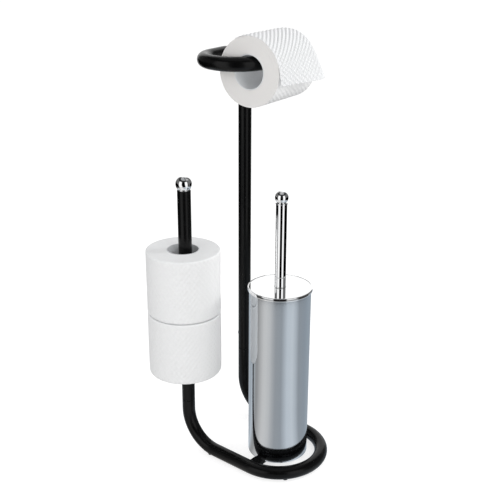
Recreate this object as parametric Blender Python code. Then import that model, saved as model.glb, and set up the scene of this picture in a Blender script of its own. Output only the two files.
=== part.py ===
"""Free-standing toilet butler: bent tube stand, brush in a steel holder and three paper rolls."""
import math

import bmesh
import bpy
from mathutils import Matrix, Vector

for leftover in list(bpy.data.objects):
    bpy.data.objects.remove(leftover, do_unlink=True)

MM = 0.001

# Clearances and cuts
TOUCH_GAP = 0.3 * MM
CUT_OVERRUN = 2 * MM
SHARP_ANGLE = math.radians(35)

# Bent tube that the whole stand is made of
TUBE_RADIUS = 9.5 * MM
TUBE_WALL = 1.2 * MM
TUBE_SIDES = 16

# Base hairpin on the floor, seen from above: post at -X, pole at +X, loop towards -Y
LOOP_RADIUS = 64.6 * MM
LOOP_REACH = 118.8 * MM
UPRIGHT_BEND_RADIUS = 52.4 * MM
UPRIGHT_BEND_STEPS = 6
LOOP_STEPS = 7
POST_SEAM_HEIGHT = 78.4 * MM
POLE_SEAM_HEIGHT = 114 * MM

# Floor pads, with their places along the base tube
PAD_UNDER_TUBE = 0.6 * MM
PAD_RADIUS = 4 * MM
PAD_HUG = 2.6 * MM
PAD_SIDES = 16
BACK_PAD_UNDER_BEND = 9 * MM
FRONT_PAD_ANGLE = math.radians(42)

# Flat bar that carries the brush holder
BAR_WIDTH = 19 * MM
BAR_THICKNESS = 3 * MM

# Inner sleeves at the two seams, and the screw at the pole's seam
SLEEVE_WALL = 1.5 * MM
SLEEVE_ABOVE_SEAM = 30 * MM
POST_SLEEVE_BELOW_SEAM = 11 * MM
POLE_SLEEVE_BELOW_SEAM = 26 * MM
POLE_SCREW_ABOVE_SEAM = 22.7 * MM
SMALL_SCREW_RADIUS = 1.9 * MM
SMALL_SCREW_HEAD_RADIUS = 3.3 * MM
SMALL_SCREW_HEAD_HEIGHT = 2 * MM
SCREW_TIP_GAP = 1 * MM
SCREW_SIDES = 12

# Upright post for the spare rolls
POST_TOP_HEIGHT = 403.1 * MM

# Pole and its hairpin arm
ARM_HEIGHT = 578.9 * MM
ARM_TWIST = math.radians(5.95)
ARM_FAR_RUN = 82.1 * MM
ARM_LOOP_RADIUS = 42.7 * MM
ARM_NEAR_RUN = 72.7 * MM
ARM_LOOP_STEPS = 7

# Chrome balls at the free ends of the tube, and the plugs that hold them
BALL_RADIUS = 11.5 * MM
BALL_SIDES = 20
BALL_RINGS = 9
BALL_COLLAR_RADIUS = 9.2 * MM
BALL_COLLAR_HEIGHT = 0.5 * MM
BALL_NECK_RADIUS = 8.5 * MM
BALL_STUD_RADIUS = 3 * MM
BALL_STUD_LENGTH = 14 * MM
PLUG_LENGTH = 18 * MM

# Collar that the spare rolls stand on
STOP_RADIUS = 34 * MM
STOP_THICKNESS = 3 * MM
STOP_HUB_RADIUS = 14 * MM
STOP_HUB_HEIGHT = 11 * MM
STOP_SIDES = 32
STOP_TOP_HEIGHT = 129.7 * MM
SET_SCREW_RADIUS = 2 * MM

# Paper rolls
ROLL_LENGTH = 93.5 * MM
ROLL_CORE_RADIUS = 21.5 * MM
ROLL_CORE_WALL = 1.2 * MM
ROLL_SIDES = 40
CORE_SIDES = 28
SPARE_ROLL_RADIUS = 52.8 * MM
SPARE_ROLL_SHIFT_X = -2.2 * MM
SPARE_ROLL_SHIFT_Y = 2.3 * MM
TOP_ROLL_RADIUS = 45.1 * MM
TOP_ROLL_OVER_BEND = 27 * MM
TOP_ROLL_SIDE_SHIFT = 6.2 * MM
TOP_ROLL_HANG_GAP = 0.4 * MM

# Loose end of the paper on the roll in use, angles from the front of the roll
SHEET_THICKNESS = 0.5 * MM
SHEET_START_ANGLE = math.radians(118)
SHEET_LIFT_ANGLE = math.radians(45)
SHEET_END_ANGLE = math.radians(-15)
SHEET_FLARE_LEFT = 4 * MM
SHEET_FLARE_RIGHT = 15 * MM
SHEET_LENGTH_STEPS = 14
SHEET_WIDTH_STEPS = 5

# Brush holder
SHELL_RADIUS = 43.3 * MM
SHELL_WALL = 0.8 * MM
SHELL_HEIGHT = 256.4 * MM
SHELL_SIDES = 40
HOLDER_BASE_THICKNESS = 6 * MM
LINER_PLAY = 0.6 * MM
LINER_WALL = 1.6 * MM
LINER_FLANGE_THICKNESS = 1 * MM
LINER_FLOOR_CLEARANCE = 2.5 * MM
LINER_CORNER = 3 * MM

# Screw, washer and nut that hold the holder on the bar
HOLDER_SCREW_RADIUS = 2.5 * MM
HOLDER_SCREW_HEAD_RADIUS = 4.6 * MM
HOLDER_SCREW_HEAD_HEIGHT = 2.6 * MM
HOLDER_SCREW_PAST_NUT = 1.5 * MM
WASHER_RADIUS = 6 * MM
WASHER_THICKNESS = 1 * MM
NUT_RADIUS = 4.6 * MM
NUT_HEIGHT = 4 * MM
NUT_SIDES = 6

# Lid of the brush
LID_RADIUS = 45.2 * MM
LID_PLATE = 1 * MM
LID_RIM_RISE = 2 * MM
LID_RIM_WIDTH = 1.8 * MM
LID_SKIRT_DROP = 0.8 * MM
LID_SKIRT_WALL = 1.1 * MM
LID_EDGE = 0.6 * MM
LID_RING_PLAY = 0.8 * MM
LID_RING_WALL = 1.2 * MM
LID_RING_DROP = 6 * MM

# Handle and stem of the brush
HANDLE_RADIUS = 7.8 * MM
HANDLE_WALL = 0.9 * MM
HANDLE_LENGTH = 120.8 * MM
HANDLE_SIDES = 20
HANDLE_BALL_RADIUS = 9.4 * MM
HANDLE_BALL_COLLAR_RADIUS = 8.4 * MM
HANDLE_BALL_COLLAR_HEIGHT = 1.5 * MM
HANDLE_BALL_NECK_RADIUS = 6.2 * MM
INSERT_LENGTH = 20 * MM
STEM_STUD_RADIUS = 3.6 * MM
STEM_STUD_LENGTH = 16 * MM
STEM_SHOULDER_RADIUS = 10 * MM
STEM_SHOULDER_HEIGHT = 3 * MM
STEM_RADIUS = 5 * MM
STEM_SOCKET_RADIUS = 3.4 * MM
STEM_SOCKET_LENGTH = 18 * MM
STEM_SIDES = 16

# Brush head
HEAD_ABOVE_LINER_FLOOR = 6 * MM
HEAD_HEIGHT = 84 * MM
HEAD_CORE_RADIUS = 6.4 * MM
BRISTLE_BACKING = 1.5 * MM
BRISTLE_RADIUS = 37 * MM
BRISTLE_COLUMNS = 20
BRISTLE_ROWS = 16
BRISTLE_ROOT = 0.65 * MM
BRISTLE_TIP_RISE = 4 * MM

# Derived heights and places
TUBE_BORE = TUBE_RADIUS - TUBE_WALL
PLUG_RADIUS = TUBE_BORE - TOUCH_GAP
TUBE_HEIGHT = PAD_UNDER_TUBE + TOUCH_GAP + TUBE_RADIUS
POST_X = -LOOP_RADIUS
POLE_X = LOOP_RADIUS
HOLDER_Y = -LOOP_REACH
BAR_TOP = TUBE_HEIGHT + BAR_THICKNESS / 2
BAR_BOTTOM = BAR_TOP - BAR_THICKNESS
SHELL_BOTTOM = BAR_TOP + TOUCH_GAP
SHELL_TOP = SHELL_BOTTOM + SHELL_HEIGHT
HOLDER_BASE_TOP = SHELL_BOTTOM + HOLDER_BASE_THICKNESS
WASHER_BOTTOM = HOLDER_BASE_TOP + TOUCH_GAP
NUT_BOTTOM = WASHER_BOTTOM + WASHER_THICKNESS + TOUCH_GAP
HOLDER_SCREW_TOP = NUT_BOTTOM + NUT_HEIGHT + HOLDER_SCREW_PAST_NUT
HOLDER_SCREW_HOLE = HOLDER_SCREW_RADIUS + TOUCH_GAP
LINER_BOTTOM = HOLDER_SCREW_TOP + LINER_FLOOR_CLEARANCE
LINER_OUTER = SHELL_RADIUS - SHELL_WALL - LINER_PLAY
LINER_INNER = LINER_OUTER - LINER_WALL
LINER_FLOOR = LINER_BOTTOM + LINER_WALL
FLANGE_BOTTOM = SHELL_TOP + TOUCH_GAP
FLANGE_TOP = FLANGE_BOTTOM + LINER_FLANGE_THICKNESS
LID_BOTTOM = FLANGE_TOP + TOUCH_GAP
LID_TOP = LID_BOTTOM + LID_PLATE
HANDLE_FOOT = LID_TOP + TOUCH_GAP
HANDLE_TOP = HANDLE_FOOT + HANDLE_LENGTH
STEM_HOLE = STEM_STUD_RADIUS + TOUCH_GAP
HEAD_BOTTOM = LINER_FLOOR + HEAD_ABOVE_LINER_FLOOR
HEAD_TOP = HEAD_BOTTOM + HEAD_HEIGHT
SPARE_X = POST_X + SPARE_ROLL_SHIFT_X
SPARE_Y = SPARE_ROLL_SHIFT_Y
LOWER_ROLL_BOTTOM = STOP_TOP_HEIGHT + TOUCH_GAP
UPPER_ROLL_BOTTOM = LOWER_ROLL_BOTTOM + ROLL_LENGTH + TOUCH_GAP
BORE_OF_STOP = TUBE_RADIUS + TOUCH_GAP

UP = Vector((0, 0, 1))
ARM_OUT = Vector((-math.cos(ARM_TWIST), -math.sin(ARM_TWIST), 0))
ARM_SIDE = Vector((math.sin(ARM_TWIST), -math.cos(ARM_TWIST), 0))
ARM_CORNER = Vector((POLE_X, 0, ARM_HEIGHT))
FAR_RUN_END = ARM_CORNER + ARM_OUT * ARM_FAR_RUN
NEAR_RUN_START = FAR_RUN_END + ARM_SIDE * ARM_LOOP_RADIUS * 2
ARM_END = NEAR_RUN_START - ARM_OUT * ARM_NEAR_RUN
TOP_ROLL_REACH = ROLL_CORE_RADIUS - TUBE_RADIUS - TOP_ROLL_HANG_GAP
TOP_ROLL_DROP = math.sqrt(TOP_ROLL_REACH ** 2 - TOP_ROLL_SIDE_SHIFT ** 2)
TOP_ROLL_FACE = (NEAR_RUN_START + ARM_OUT * TOP_ROLL_OVER_BEND
                 - ARM_SIDE * TOP_ROLL_SIDE_SHIFT - UP * TOP_ROLL_DROP)

# The origin is on the floor under the middle of the whole outline
BALL_RISE = TOUCH_GAP + BALL_COLLAR_HEIGHT + math.sqrt(BALL_RADIUS ** 2 - BALL_NECK_RADIUS ** 2)
RIGHT_EDGE = ARM_END.x - ARM_OUT.x * BALL_RISE + BALL_RADIUS
LEFT_EDGE = SPARE_X - SPARE_ROLL_RADIUS
FRONT_EDGE = -LOOP_REACH - LOOP_RADIUS - TUBE_RADIUS
BACK_EDGE = SPARE_Y + SPARE_ROLL_RADIUS


def finish(name, colour, roughness, metallic):
    """Principled material of one plain finish."""
    material = bpy.data.materials.new(name)
    material.use_nodes = True
    shader = material.node_tree.nodes["Principled BSDF"]
    shader.inputs["Base Color"].default_value = (*colour, 1)
    shader.inputs["Roughness"].default_value = roughness
    shader.inputs["Metallic"].default_value = metallic
    material.diffuse_color = (*colour, 1)
    return material


BLACK_COAT = finish("black_coat", (0.012, 0.012, 0.014), 0.38, 0)
CHROME = finish("chrome", (0.82, 0.83, 0.85), 0.06, 1)
STEEL = finish("steel", (0.6, 0.64, 0.68), 0.2, 1)
ZINC = finish("zinc", (0.45, 0.46, 0.48), 0.35, 1)
BLACK_PLASTIC = finish("black_plastic", (0.02, 0.02, 0.02), 0.5, 0)
WHITE_PLASTIC = finish("white_plastic", (0.8, 0.8, 0.8), 0.45, 0)
RUBBER = finish("rubber", (0.03, 0.03, 0.03), 0.8, 0)
PAPER = finish("paper", (0.85, 0.85, 0.86), 0.9, 0)
CARD = finish("card", (0.52, 0.52, 0.55), 0.85, 0)
BRISTLE = finish("bristle", (0.9, 0.9, 0.9), 0.5, 0)


def add_empty(name, place, parent=None):
    """Empty that carries a group of pieces."""
    holder = bpy.data.objects.new(name, None)
    bpy.context.collection.objects.link(holder)
    holder.parent = parent
    holder.location = place
    return holder


STAND = add_empty("stand_frame", (-(LEFT_EDGE + RIGHT_EDGE) / 2, -(FRONT_EDGE + BACK_EDGE) / 2, 0))


def add_object(name, bm, material, parent=STAND, place=(0, 0, 0)):
    """Closed mesh as a named object with its finish."""
    bmesh.ops.recalc_face_normals(bm, faces=bm.faces)
    mesh = bpy.data.meshes.new(name)
    bm.to_mesh(mesh)
    bm.free()
    if material:
        mesh.materials.append(material)
    mesh.shade_smooth()
    mesh.set_sharp_from_angle(angle=SHARP_ANGLE)
    piece = bpy.data.objects.new(name, mesh)
    bpy.context.collection.objects.link(piece)
    piece.parent = parent
    piece.location = place
    return piece


def join_rings(bm, low, high, sides):
    """Faces between two rings of points, either of which may be a single point."""
    for i in range(sides):
        j = (i + 1) % sides
        if len(low) == 1:
            bm.faces.new((low[0], high[i], high[j]))
        elif len(high) == 1:
            bm.faces.new((low[i], low[j], high[0]))
        else:
            bm.faces.new((low[i], low[j], high[j], high[i]))


def turned(profile, sides):
    """Solid of revolution about Z. A profile off the axis is a closed loop."""
    bm = bmesh.new()
    rings = []
    for radius, height in profile:
        if radius == 0:
            rings.append([bm.verts.new((0, 0, height))])
            continue
        angles = [2 * math.pi * i / sides for i in range(sides)]
        rings.append([bm.verts.new((radius * math.cos(a), radius * math.sin(a), height)) for a in angles])
    for low, high in zip(rings, rings[1:]):
        join_rings(bm, low, high, sides)
    if profile[0][0] > 0:
        join_rings(bm, rings[-1], rings[0], sides)
    return bm


def sleeve_profile(outer, inner, bottom, top):
    """Outline of a plain ring or tube."""
    return [(outer, bottom), (outer, top), (inner, top), (inner, bottom)]


def rod_profile(radius, bottom, top):
    """Outline of a plain rod."""
    return [(0, bottom), (radius, bottom), (radius, top), (0, top)]


def rounded_path(corners, radii, steps):
    """Points along straight runs, each inner corner rounded by an arc of its radius."""
    path = [corners[0]]
    for i, (radius, count) in enumerate(zip(radii, steps)):
        before, corner, after = corners[i:i + 3]
        into = (corner - before).normalized()
        turn = into.angle(after - corner)
        axis = into.cross(after - corner).normalized()
        start = corner - into * radius * math.tan(turn / 2)
        centre = start + axis.cross(into) * radius
        for k in range(count + 1):
            point = centre + Matrix.Rotation(turn * k / count, 3, axis) @ (start - centre)
            if (point - path[-1]).length > TOUCH_GAP:
                path.append(point)
    path.append(corners[-1])
    return path


def bent_tube(path, outer, inner):
    """Tube along a path. With no inner radius it is a solid rod."""
    bm = bmesh.new()
    side = Vector((1, 0, 0))
    skins = {radius: [] for radius in (outer, inner) if radius}
    last = (path[1] - path[0]).normalized()
    for i, point in enumerate(path):
        ahead = path[min(i + 1, len(path) - 1)] - path[max(i - 1, 0)]
        ahead.normalize()
        side = last.rotation_difference(ahead) @ side
        side = (side - ahead * side.dot(ahead)).normalized()
        last = ahead
        across = ahead.cross(side)
        for radius in skins:
            angles = [2 * math.pi * k / TUBE_SIDES for k in range(TUBE_SIDES)]
            spokes = [side * math.cos(a) + across * math.sin(a) for a in angles]
            skins[radius].append([bm.verts.new(point + spoke * radius) for spoke in spokes])
    for rings in skins.values():
        for low, high in zip(rings, rings[1:]):
            join_rings(bm, low, high, TUBE_SIDES)
    for end in (0, -1):
        if inner:
            join_rings(bm, skins[outer][end], skins[inner][end], TUBE_SIDES)
        else:
            bm.faces.new(skins[outer][end])
    return bm


def cut(target, cutter):
    """Boolean cut, with the cutter kept as a wire guide."""
    cutter.hide_render = True
    cutter.display_type = "WIRE"
    modifier = target.modifiers.new(cutter.name, "BOOLEAN")
    modifier.operation = "DIFFERENCE"
    modifier.solver = "EXACT"
    modifier.object = cutter


def aim(piece, direction):
    """Turn a piece so that its Z axis points along a direction."""
    piece.rotation_mode = "QUATERNION"
    piece.rotation_quaternion = UP.rotation_difference(direction)


# Base tube, pole and post

BASE_CORNERS = [Vector((POST_X, 0, POST_SEAM_HEIGHT)),
                Vector((POST_X, 0, TUBE_HEIGHT)),
                Vector((POST_X, -LOOP_REACH - LOOP_RADIUS, TUBE_HEIGHT)),
                Vector((POLE_X, -LOOP_REACH - LOOP_RADIUS, TUBE_HEIGHT)),
                Vector((POLE_X, 0, TUBE_HEIGHT)),
                Vector((POLE_X, 0, POLE_SEAM_HEIGHT))]
BASE_PATH = rounded_path(BASE_CORNERS,
                         (UPRIGHT_BEND_RADIUS, LOOP_RADIUS, LOOP_RADIUS, UPRIGHT_BEND_RADIUS),
                         (UPRIGHT_BEND_STEPS, LOOP_STEPS, LOOP_STEPS, UPRIGHT_BEND_STEPS))
add_object("base_tube", bent_tube(BASE_PATH, TUBE_RADIUS, TUBE_BORE), BLACK_COAT)

ARM_CORNERS = [Vector((POLE_X, 0, POLE_SEAM_HEIGHT + TOUCH_GAP)),
               ARM_CORNER,
               FAR_RUN_END + ARM_OUT * ARM_LOOP_RADIUS,
               NEAR_RUN_START + ARM_OUT * ARM_LOOP_RADIUS,
               ARM_END]
ARM_PATH = rounded_path(ARM_CORNERS,
                        (UPRIGHT_BEND_RADIUS, ARM_LOOP_RADIUS, ARM_LOOP_RADIUS),
                        (UPRIGHT_BEND_STEPS, ARM_LOOP_STEPS, ARM_LOOP_STEPS))
pole = add_object("pole_tube", bent_tube(ARM_PATH, TUBE_RADIUS, TUBE_BORE), BLACK_COAT)

post_profile = sleeve_profile(TUBE_RADIUS, TUBE_BORE, POST_SEAM_HEIGHT + TOUCH_GAP, POST_TOP_HEIGHT)
add_object("spare_roll_post", turned(post_profile, TUBE_SIDES), BLACK_COAT, STAND, (POST_X, 0, 0))

post_sleeve = sleeve_profile(PLUG_RADIUS, PLUG_RADIUS - SLEEVE_WALL,
                             POST_SEAM_HEIGHT - POST_SLEEVE_BELOW_SEAM,
                             POST_SEAM_HEIGHT + SLEEVE_ABOVE_SEAM)
add_object("post_sleeve", turned(post_sleeve, TUBE_SIDES), ZINC, STAND, (POST_X, 0, 0))
pole_sleeve_profile = sleeve_profile(PLUG_RADIUS, PLUG_RADIUS - SLEEVE_WALL,
                                     POLE_SEAM_HEIGHT - POLE_SLEEVE_BELOW_SEAM,
                                     POLE_SEAM_HEIGHT + SLEEVE_ABOVE_SEAM)
pole_sleeve = add_object("pole_sleeve", turned(pole_sleeve_profile, TUBE_SIDES), ZINC, STAND, (POLE_X, 0, 0))


def pan_head_screw(shank, head_radius, head_height, length):
    """Screw along Z with the underside of its domed head at zero and the shank below."""
    dome = [(head_radius * math.cos(a), head_height * (1 + math.sin(a)) / 2)
            for a in (0, math.pi / 6, math.pi / 3)]
    return [(0, -length), (shank, -length), (shank, 0), (head_radius, 0), *dome, (0, head_height)]


SCREW_SEAT = Vector((POLE_X, TUBE_RADIUS + TOUCH_GAP, POLE_SEAM_HEIGHT + POLE_SCREW_ABOVE_SEAM))
screw_length = TUBE_WALL + SLEEVE_WALL + TOUCH_GAP * 2 + SCREW_TIP_GAP
screw_profile = pan_head_screw(SMALL_SCREW_RADIUS, SMALL_SCREW_HEAD_RADIUS, SMALL_SCREW_HEAD_HEIGHT,
                               screw_length)
pole_screw = add_object("pole_screw", turned(screw_profile, SCREW_SIDES), ZINC, STAND, SCREW_SEAT)
aim(pole_screw, Vector((0, 1, 0)))
hole_profile = rod_profile(SMALL_SCREW_RADIUS + TOUCH_GAP, -screw_length - CUT_OVERRUN, CUT_OVERRUN)
screw_hole = add_object("pole_screw_hole", turned(hole_profile, SCREW_SIDES), None, STAND, SCREW_SEAT)
aim(screw_hole, Vector((0, 1, 0)))
cut(pole, screw_hole)
cut(pole_sleeve, screw_hole)


# Floor pads, hollowed to hug the tube

def fat_base_tube():
    """Cutter a touch larger than the base tube."""
    return add_object("base_tube_room", bent_tube(BASE_PATH, TUBE_RADIUS + TOUCH_GAP, None), None)


TUBE_ROOM = fat_base_tube()
FRONT_PAD_X = LOOP_RADIUS * math.sin(FRONT_PAD_ANGLE)
FRONT_PAD_Y = -LOOP_REACH - LOOP_RADIUS * math.cos(FRONT_PAD_ANGLE)
BACK_PAD_Y = -UPRIGHT_BEND_RADIUS + BACK_PAD_UNDER_BEND
PAD_PLACES = {"pad_back_left": (POST_X, BACK_PAD_Y), "pad_back_right": (POLE_X, BACK_PAD_Y),
              "pad_front_left": (-FRONT_PAD_X, FRONT_PAD_Y), "pad_front_right": (FRONT_PAD_X, FRONT_PAD_Y)}
for pad_name, (pad_x, pad_y) in PAD_PLACES.items():
    pad_profile = rod_profile(PAD_RADIUS, 0, PAD_UNDER_TUBE + PAD_HUG)
    cut(add_object(pad_name, turned(pad_profile, PAD_SIDES), RUBBER, STAND, (pad_x, pad_y, 0)), TUBE_ROOM)


# Bar between the runs of the base, hollowed at its ends for the tube and bored for the screw

def box(size_x, size_y, bottom, top):
    """Plain block centred on Z, as a start for cuts."""
    bm = bmesh.new()
    bmesh.ops.create_cube(bm, size=1)
    bmesh.ops.scale(bm, vec=(size_x, size_y, top - bottom), verts=bm.verts)
    bmesh.ops.translate(bm, vec=(0, 0, (top + bottom) / 2), verts=bm.verts)
    return bm


BAR_LENGTH = (LOOP_RADIUS - TUBE_RADIUS) * 2 - TOUCH_GAP * 2
bar = add_object("cross_bar", box(BAR_LENGTH, BAR_WIDTH, BAR_BOTTOM, BAR_TOP), BLACK_COAT,
                 STAND, (0, HOLDER_Y, 0))
bar_hole_profile = rod_profile(HOLDER_SCREW_HOLE, BAR_BOTTOM - CUT_OVERRUN, BAR_TOP + CUT_OVERRUN)
bar_hole = add_object("bar_screw_hole", turned(bar_hole_profile, SCREW_SIDES), None, STAND, (0, HOLDER_Y, 0))
cut(bar, bar_hole)
cut(bar, TUBE_ROOM)


# Chrome balls and their plugs

def ball_profile(radius, neck, collar, collar_height, stud, stud_length):
    """Ball on a collar on a stud, along Z, with the tube's end at zero."""
    collar_top = TOUCH_GAP + collar_height
    centre = collar_top + math.sqrt(radius ** 2 - neck ** 2)
    low = -math.acos(neck / radius)
    arc = [low + (math.pi / 2 - low) * i / BALL_RINGS for i in range(BALL_RINGS)]
    return [(0, -stud_length), (stud, -stud_length), (stud, TOUCH_GAP), (collar, TOUCH_GAP),
            (collar, collar_top), *[(radius * math.cos(a), centre + radius * math.sin(a)) for a in arc],
            (0, centre + radius)]


def add_ball(name, parent, place, direction):
    """Ball with a stud, and the plug in the tube that the stud screws into."""
    knob = add_object(name, turned(ball_profile(BALL_RADIUS, BALL_NECK_RADIUS, BALL_COLLAR_RADIUS,
                                                BALL_COLLAR_HEIGHT, BALL_STUD_RADIUS, BALL_STUD_LENGTH),
                                   BALL_SIDES), CHROME, parent, place)
    plug_profile = sleeve_profile(PLUG_RADIUS, BALL_STUD_RADIUS + TOUCH_GAP, -PLUG_LENGTH, 0)
    plug = add_object(name + "_plug", turned(plug_profile, TUBE_SIDES), BLACK_PLASTIC, parent, place)
    aim(knob, direction)
    aim(plug, direction)


add_ball("post_ball", STAND, (POST_X, 0, POST_TOP_HEIGHT), UP)
add_ball("arm_ball", STAND, ARM_END, -ARM_OUT)


# Collar under the spare rolls, held by a set screw

STOP_PLATE_BOTTOM = STOP_TOP_HEIGHT - STOP_THICKNESS
STOP_BOTTOM = STOP_PLATE_BOTTOM - STOP_HUB_HEIGHT
stop_profile = [(BORE_OF_STOP, STOP_BOTTOM), (STOP_HUB_RADIUS, STOP_BOTTOM),
                (STOP_HUB_RADIUS, STOP_PLATE_BOTTOM), (STOP_RADIUS, STOP_PLATE_BOTTOM),
                (STOP_RADIUS, STOP_TOP_HEIGHT), (BORE_OF_STOP, STOP_TOP_HEIGHT)]
roll_stop = add_object("roll_stop", turned(stop_profile, STOP_SIDES), BLACK_COAT, STAND, (POST_X, 0, 0))
SET_SCREW_PLACE = Vector((POST_X, 0, STOP_BOTTOM + STOP_HUB_HEIGHT / 2))
set_screw_profile = rod_profile(SET_SCREW_RADIUS, TUBE_RADIUS + TOUCH_GAP, STOP_HUB_RADIUS)
set_hole_profile = rod_profile(SET_SCREW_RADIUS + TOUCH_GAP, TUBE_BORE, STOP_HUB_RADIUS + CUT_OVERRUN)
set_screw = add_object("stop_set_screw", turned(set_screw_profile, SCREW_SIDES), ZINC, STAND, SET_SCREW_PLACE)
set_hole = add_object("stop_screw_hole", turned(set_hole_profile, SCREW_SIDES), None, STAND, SET_SCREW_PLACE)
aim(set_screw, Vector((0, 1, 0)))
aim(set_hole, Vector((0, 1, 0)))
cut(roll_stop, set_hole)


# Brush holder on the bar

HOLDER = add_empty("holder_axis", (0, HOLDER_Y, 0), STAND)
shell_profile = sleeve_profile(SHELL_RADIUS, SHELL_RADIUS - SHELL_WALL, SHELL_BOTTOM, SHELL_TOP)
add_object("holder_shell", turned(shell_profile, SHELL_SIDES), STEEL, HOLDER)
base_profile = sleeve_profile(SHELL_RADIUS - SHELL_WALL - TOUCH_GAP, HOLDER_SCREW_HOLE,
                              SHELL_BOTTOM, HOLDER_BASE_TOP)
add_object("holder_base", turned(base_profile, SHELL_SIDES), ZINC, HOLDER)
holder_screw_profile = pan_head_screw(HOLDER_SCREW_RADIUS, HOLDER_SCREW_HEAD_RADIUS,
                                      HOLDER_SCREW_HEAD_HEIGHT,
                                      HOLDER_SCREW_TOP - BAR_BOTTOM + TOUCH_GAP)
holder_screw = add_object("holder_screw", turned(holder_screw_profile, SCREW_SIDES), ZINC, HOLDER,
                          (0, 0, BAR_BOTTOM - TOUCH_GAP))
holder_screw.rotation_euler.x = math.pi
washer_profile = sleeve_profile(WASHER_RADIUS, HOLDER_SCREW_HOLE, WASHER_BOTTOM,
                                WASHER_BOTTOM + WASHER_THICKNESS)
add_object("holder_washer", turned(washer_profile, STEM_SIDES), ZINC, HOLDER)


def hex_nut(across, bore, bottom, top):
    """Six-sided nut with a round bore: bore points pair up two to a corner."""
    bm = bmesh.new()
    loops = []
    for height in (bottom, top):
        outer, inner = [[bm.verts.new((radius * math.cos(2 * math.pi * i / sides),
                                       radius * math.sin(2 * math.pi * i / sides), height))
                         for i in range(sides)]
                        for radius, sides in ((across, NUT_SIDES), (bore, SCREW_SIDES))]
        loops.append((outer, inner))
        for i in range(NUT_SIDES):
            after = (i + 1) % NUT_SIDES
            bm.faces.new((outer[i], inner[2 * i + 1], inner[2 * i]))
            bm.faces.new((outer[i], outer[after], inner[2 * i + 1]))
            bm.faces.new((outer[after], inner[(2 * i + 2) % SCREW_SIDES], inner[2 * i + 1]))
    join_rings(bm, loops[0][0], loops[1][0], NUT_SIDES)
    join_rings(bm, loops[1][1], loops[0][1], SCREW_SIDES)
    return bm


nut = hex_nut(NUT_RADIUS, HOLDER_SCREW_HOLE, NUT_BOTTOM, NUT_BOTTOM + NUT_HEIGHT)
add_object("holder_nut", nut, ZINC, HOLDER)
liner_profile = [(0, LINER_BOTTOM), (LINER_OUTER - LINER_CORNER, LINER_BOTTOM),
                 (LINER_OUTER, LINER_BOTTOM + LINER_CORNER), (LINER_OUTER, FLANGE_BOTTOM),
                 (SHELL_RADIUS, FLANGE_BOTTOM), (SHELL_RADIUS, FLANGE_TOP), (LINER_INNER, FLANGE_TOP),
                 (LINER_INNER, LINER_FLOOR + LINER_CORNER), (LINER_INNER - LINER_CORNER, LINER_FLOOR),
                 (0, LINER_FLOOR)]
add_object("holder_liner", turned(liner_profile, SHELL_SIDES), WHITE_PLASTIC, HOLDER)


# Brush that lifts out, with its lid and handle

BRUSH = add_empty("brush_axis", (0, HOLDER_Y, 0), STAND)
LID_RIM_TOP = LID_TOP + LID_RIM_RISE
LID_SKIRT_BOTTOM = LID_BOTTOM - LID_SKIRT_DROP
LID_RING_OUTER = LINER_INNER - LID_RING_PLAY
LID_RING_INNER = LID_RING_OUTER - LID_RING_WALL
LID_RIM_INNER = LID_RADIUS - LID_RIM_WIDTH
lid_profile = [(STEM_HOLE, LID_TOP), (LID_RIM_INNER - LID_EDGE, LID_TOP),
               (LID_RIM_INNER, LID_TOP + LID_EDGE), (LID_RIM_INNER, LID_RIM_TOP - LID_EDGE),
               (LID_RIM_INNER + LID_EDGE, LID_RIM_TOP), (LID_RADIUS - LID_EDGE, LID_RIM_TOP),
               (LID_RADIUS, LID_RIM_TOP - LID_EDGE), (LID_RADIUS, LID_SKIRT_BOTTOM),
               (LID_RADIUS - LID_SKIRT_WALL, LID_SKIRT_BOTTOM), (LID_RADIUS - LID_SKIRT_WALL, LID_BOTTOM),
               (LID_RING_OUTER, LID_BOTTOM), (LID_RING_OUTER, LID_BOTTOM - LID_RING_DROP),
               (LID_RING_INNER, LID_BOTTOM - LID_RING_DROP), (LID_RING_INNER, LID_BOTTOM),
               (STEM_HOLE, LID_BOTTOM)]
add_object("brush_lid", turned(lid_profile, SHELL_SIDES), CHROME, BRUSH)

HANDLE_BORE = HANDLE_RADIUS - HANDLE_WALL
handle_profile = sleeve_profile(HANDLE_RADIUS, HANDLE_BORE, HANDLE_FOOT, HANDLE_TOP)
add_object("handle_tube", turned(handle_profile, HANDLE_SIDES), CHROME, BRUSH)
insert_profile = sleeve_profile(HANDLE_BORE - TOUCH_GAP, STEM_HOLE, HANDLE_FOOT, HANDLE_FOOT + INSERT_LENGTH)
add_object("handle_insert", turned(insert_profile, HANDLE_SIDES), BLACK_PLASTIC, BRUSH)
handle_ball_profile = ball_profile(HANDLE_BALL_RADIUS, HANDLE_BALL_NECK_RADIUS, HANDLE_BALL_COLLAR_RADIUS,
                                   HANDLE_BALL_COLLAR_HEIGHT, HANDLE_BORE - TOUCH_GAP, BALL_STUD_LENGTH)
add_object("handle_ball", turned(handle_ball_profile, BALL_SIDES), CHROME, BRUSH, (0, 0, HANDLE_TOP))

SHOULDER_TOP = LID_BOTTOM - TOUCH_GAP
SHOULDER_BOTTOM = SHOULDER_TOP - STEM_SHOULDER_HEIGHT
STEM_END = HEAD_TOP + TOUCH_GAP
stem_profile = [(0, STEM_END - STEM_SOCKET_LENGTH), (STEM_SOCKET_RADIUS, STEM_END - STEM_SOCKET_LENGTH),
                (STEM_SOCKET_RADIUS, STEM_END), (STEM_RADIUS, STEM_END), (STEM_RADIUS, SHOULDER_BOTTOM),
                (STEM_SHOULDER_RADIUS, SHOULDER_BOTTOM), (STEM_SHOULDER_RADIUS, SHOULDER_TOP),
                (STEM_STUD_RADIUS, SHOULDER_TOP), (STEM_STUD_RADIUS, HANDLE_FOOT + STEM_STUD_LENGTH),
                (0, HANDLE_FOOT + STEM_STUD_LENGTH)]
add_object("brush_stem", turned(stem_profile, STEM_SIDES), WHITE_PLASTIC, BRUSH)

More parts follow.
